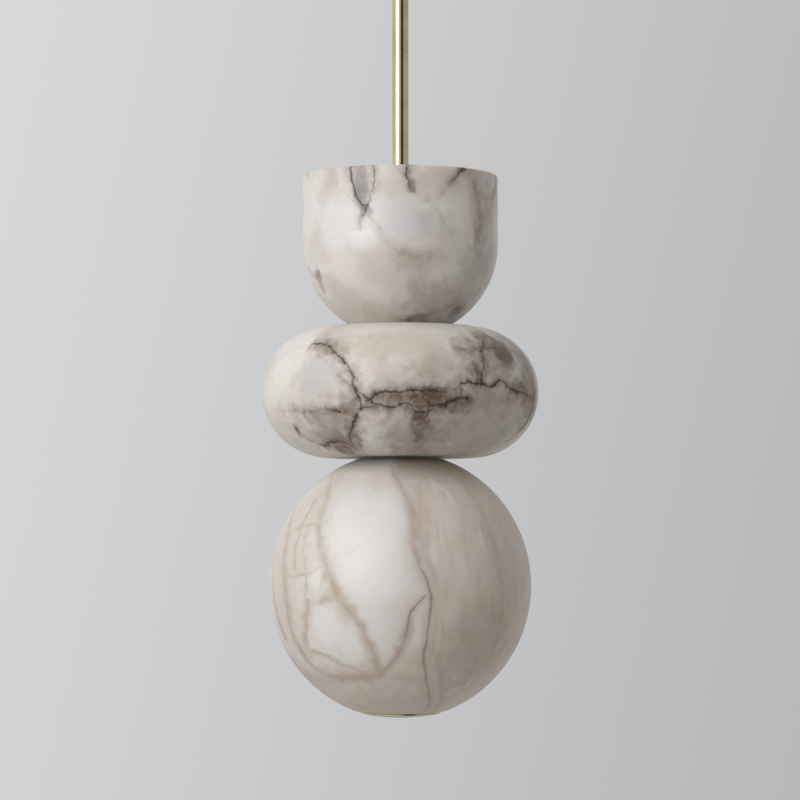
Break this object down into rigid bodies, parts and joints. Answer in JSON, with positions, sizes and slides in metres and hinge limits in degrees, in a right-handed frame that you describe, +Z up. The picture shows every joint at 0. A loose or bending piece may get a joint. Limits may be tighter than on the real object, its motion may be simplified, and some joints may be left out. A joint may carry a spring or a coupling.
{
  "type": "marble pendant light",
  "caption": "Pendant light of turned veined stones, a cup over a round-edged disc over a ball, on a brass stem and canopy with a tilting swivel.",
  "frame": {"origin": "centre of the ceiling plate's fixing holes, on the face that meets the ceiling", "axes": "+Z up, along the stem; +X towards the cable entry; the light hangs below zero"},
  "size_m": [0.212, 0.212, 0.6707],
  "materials": {
    "brushed_steel": "satin",
    "bronze_bush": "satin",
    "satin_brass": "satin",
    "terminal_brass": "satin",
    "black_rubber": "matte",
    "clear_silicone": "matte",
    "white_nylon": "matte",
    "carrier_aluminium": "satin",
    "holder_ceramic": "matte",
    "opal_lamp": "satin",
    "cup_stone": "satin",
    "disc_stone": "satin",
    "ball_stone": "satin"
  },
  "bodies": {
    "ceiling_side": {"ceiling_plate": "brushed_steel", "cable_grommet": "black_rubber", "terminal_block": "white_nylon", "terminal_screws": "terminal_brass", "terminal_fixing_screw": "brushed_steel", "earth_screw": "terminal_brass", "earth_washer": "terminal_brass", "upper_clevis": "brushed_steel", "upper_clevis_bushes": "bronze_bush", "stud_washer": "brushed_steel", "stud_nut": "brushed_steel", "canopy_screws": "satin_brass"},
    "swivel_cross": {"swivel_cross": "brushed_steel"},
    "canopy": {"canopy": "satin_brass"},
    "cup_lamp_1": {"cup_lamp_1": "opal_lamp"},
    "cup_lamp_2": {"cup_lamp_2": "opal_lamp"},
    "cup_lamp_3": {"cup_lamp_3": "opal_lamp"},
    "end_cap": {"end_cap": "satin_brass"},
    "pendant": {"ball_carrier_grub_screw": "brushed_steel", "ball_holder_screws": "brushed_steel", "ball_joint_gasket": "clear_silicone", "ball_joint_hub": "white_nylon", "ball_lamp_carrier": "carrier_aluminium", "ball_lampholders": "holder_ceramic", "ball_lamps": "opal_lamp", "cup_floor_gasket": "clear_silicone", "cup_gallery": "satin_brass", "cup_holder_screws": "brushed_steel", "cup_joint_gasket": "clear_silicone", "cup_joint_hub": "white_nylon", "cup_lampholders": "holder_ceramic", "disc_carrier_grub_screw": "brushed_steel", "disc_holder_screws": "brushed_steel", "disc_lamp_carrier": "carrier_aluminium", "disc_lampholders": "holder_ceramic", "disc_lamps": "opal_lamp", "end_cap_seal": "clear_silicone", "hanging_rod": "brushed_steel", "lower_clevis": "brushed_steel", "lower_clevis_bushes": "bronze_bush", "stem_foot": "satin_brass", "stem_grub_screw": "brushed_steel", "stem_tube": "satin_brass", "stone_ball": "ball_stone", "stone_cup": "cup_stone", "stone_disc": "disc_stone", "support_nut": "brushed_steel", "support_washer": "brushed_steel", "swivel_cover": "satin_brass"}
  },
  "joints": [
    {"name": "swivel_tilt_x", "type": "hinge", "parent": "ceiling_side", "child": "swivel_cross", "pos_m": [0, 0, -0.024], "axis": [1, 0, 0], "range_deg": [-8, 8]},
    {"name": "swivel_tilt_y", "type": "hinge", "parent": "swivel_cross", "child": "pendant", "pos_m": [0, 0, -0.024], "axis": [0, 1, 0], "range_deg": [-8, 8]},
    {"name": "canopy_drop", "type": "slide", "parent": "ceiling_side", "child": "canopy", "axis": [0, 0, -1], "range_m": [0, 0.05]},
    {"name": "end_cap_unscrew", "type": "slide", "parent": "pendant", "child": "end_cap", "axis": [0, 0, -1], "range_m": [0, 0.006]},
    {"name": "cup_lamp_1_pull", "type": "slide", "parent": "pendant", "child": "cup_lamp_1", "axis": [0, 0, 1], "range_m": [0, 0.012]},
    {"name": "cup_lamp_2_pull", "type": "slide", "parent": "pendant", "child": "cup_lamp_2", "axis": [0, 0, 1], "range_m": [0, 0.012]},
    {"name": "cup_lamp_3_pull", "type": "slide", "parent": "pendant", "child": "cup_lamp_3", "axis": [0, 0, 1], "range_m": [0, 0.012]}
  ]
}
